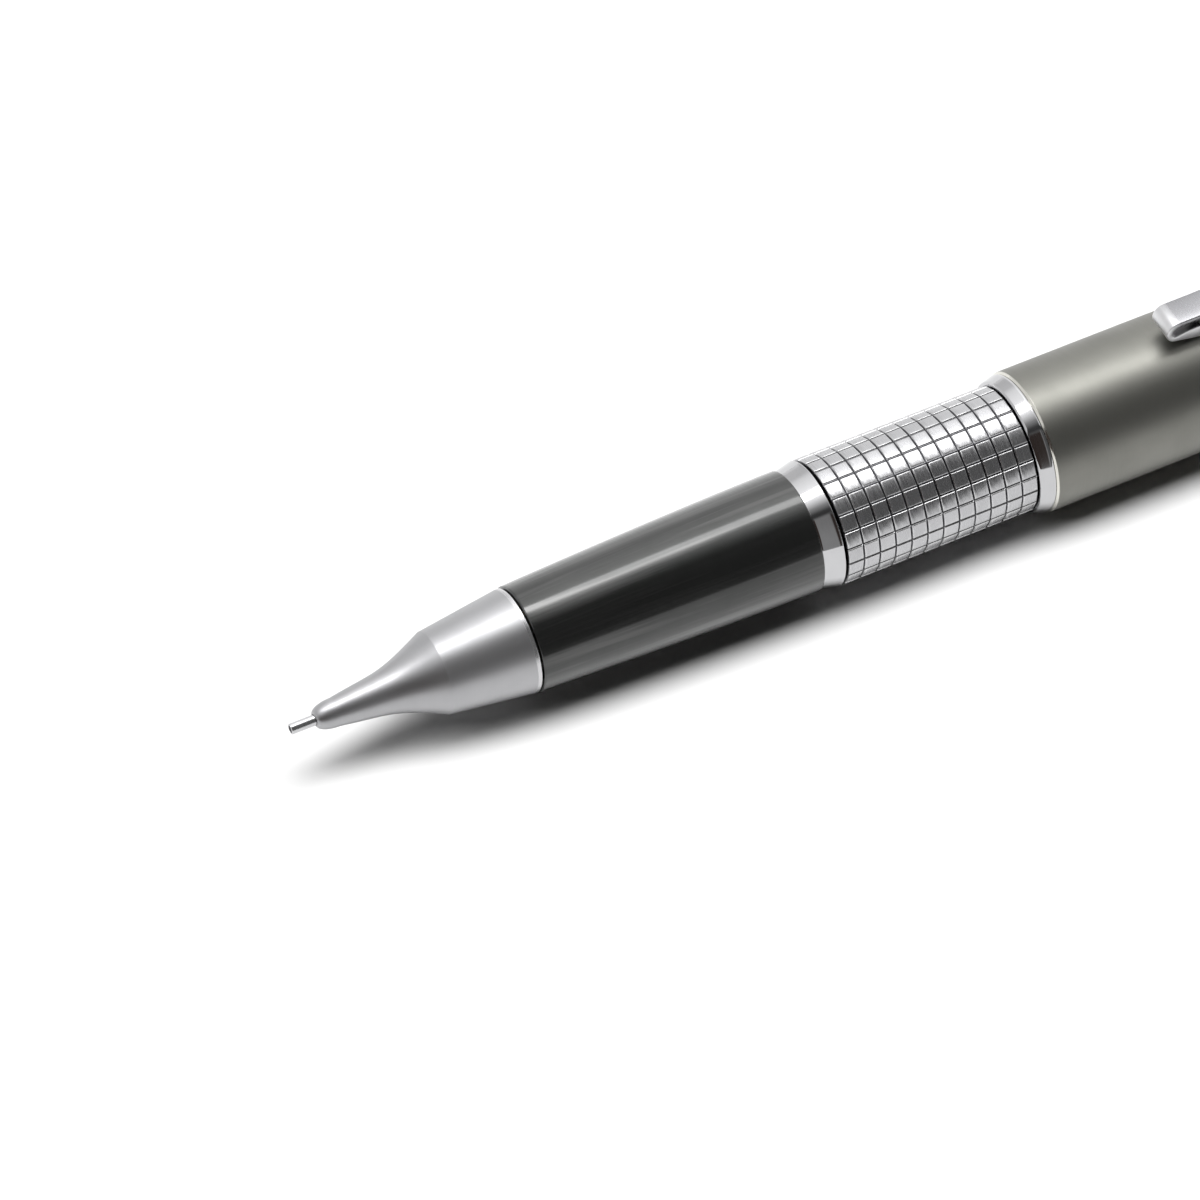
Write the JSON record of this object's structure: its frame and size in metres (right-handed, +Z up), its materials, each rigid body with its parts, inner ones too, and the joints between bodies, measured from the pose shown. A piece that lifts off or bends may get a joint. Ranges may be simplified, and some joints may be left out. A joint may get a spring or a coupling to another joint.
{
  "type": "mechanical pencil",
  "caption": "Capped pocket mechanical pencil with the cap pushed onto the rear: metal nose and grip, knurled band, clip and push knob",
  "frame": {"origin": "middle of the pencil's length, on the surface it lies on, under the axis of its cap", "axes": "+X from the tip towards the push knob, +Z up through the clip, +Y across"},
  "size_m": [0.14, 0.012, 0.0146],
  "materials": {
    "satin_silver": "satin, fine bead-blasted, clear coated",
    "gunmetal_lacquer": "deep gloss metallic lacquer",
    "bright_chrome": "polished chrome plate",
    "anodised_cap": "satin anodised, warm grey-green",
    "brass": "turned brass",
    "steel": "drawn stainless steel",
    "barrel_resin": "metallic resin, satin gloss",
    "black_resin": "moulded, fine matt",
    "pale_resin": "moulded, natural",
    "graphite": "polymer lead, slight sheen",
    "rubber": "soft moulded rubber",
    "eraser_rubber": "white vinyl eraser"
  },
  "bodies": {
    "barrel": {"nose_cone": "satin_silver", "grip_section": "gunmetal_lacquer", "front_ring": "bright_chrome", "section_liner": "brass", "knurled_band": "bright_chrome", "rear_ring": "bright_chrome", "rear_barrel": "barrel_resin", "barrel_end_ring": "bright_chrome", "clutch_bush": "brass", "spring_seat": "brass"},
    "sleeve": {"sliding_sleeve": "steel", "sleeve_carrier": "black_resin", "lead_retainer": "rubber"},
    "lead_line": {"lead": "graphite", "clutch_ring": "brass"},
    "mechanism": {"chuck": "brass", "reservoir_joint": "pale_resin", "lead_reservoir": "pale_resin", "spare_leads": "graphite", "eraser_holder": "pale_resin", "eraser": "eraser_rubber", "push_button": "bright_chrome", "return_spring": "steel"},
    "cap": {"cap_tube": "anodised_cap", "cap_liner": "black_resin", "clip_anchor": "black_resin", "cap_crown": "bright_chrome"},
    "clip": {"pocket_clip": "bright_chrome"},
    "knob": {"cap_knob": "bright_chrome", "knob_pusher": "black_resin", "knob_spring": "steel"}
  },
  "joints": [
    {"name": "mechanism_press", "type": "slide", "parent": "barrel", "child": "mechanism", "axis": [-1, 0, 0], "range_m": [0, 0.003], "stiffness_N_per_m": 400, "deforming": ["return_spring"]},
    {"name": "lead_feed", "type": "slide", "parent": "barrel", "child": "lead_line", "axis": [-1, 0, 0], "range_m": [0, 0.0006]},
    {"name": "sleeve_slide", "type": "slide", "parent": "barrel", "child": "sleeve", "axis": [1, 0, 0], "range_m": [0, 0.002]},
    {"name": "cap_slide", "type": "slide", "parent": "barrel", "child": "cap", "axis": [1, 0, 0], "range_m": [0, 0.032]},
    {"name": "knob_press", "type": "slide", "parent": "cap", "child": "knob", "axis": [-1, 0, 0], "range_m": [0, 0.003], "deforming": ["knob_spring"]},
    {"name": "clip_flex", "type": "hinge", "parent": "cap", "child": "clip", "pos_m": [0.053, 0, 0.0117], "axis": [0, 1, 0], "range_deg": [0, 3.5], "stiffness_Nm_per_rad": 2.9}
  ],
  "couplings": [
    {"joint": "knob_press", "follows": "mechanism_press", "ratio": 1},
    {"joint": "lead_feed", "follows": "mechanism_press", "ratio": 0.2}
  ]
}
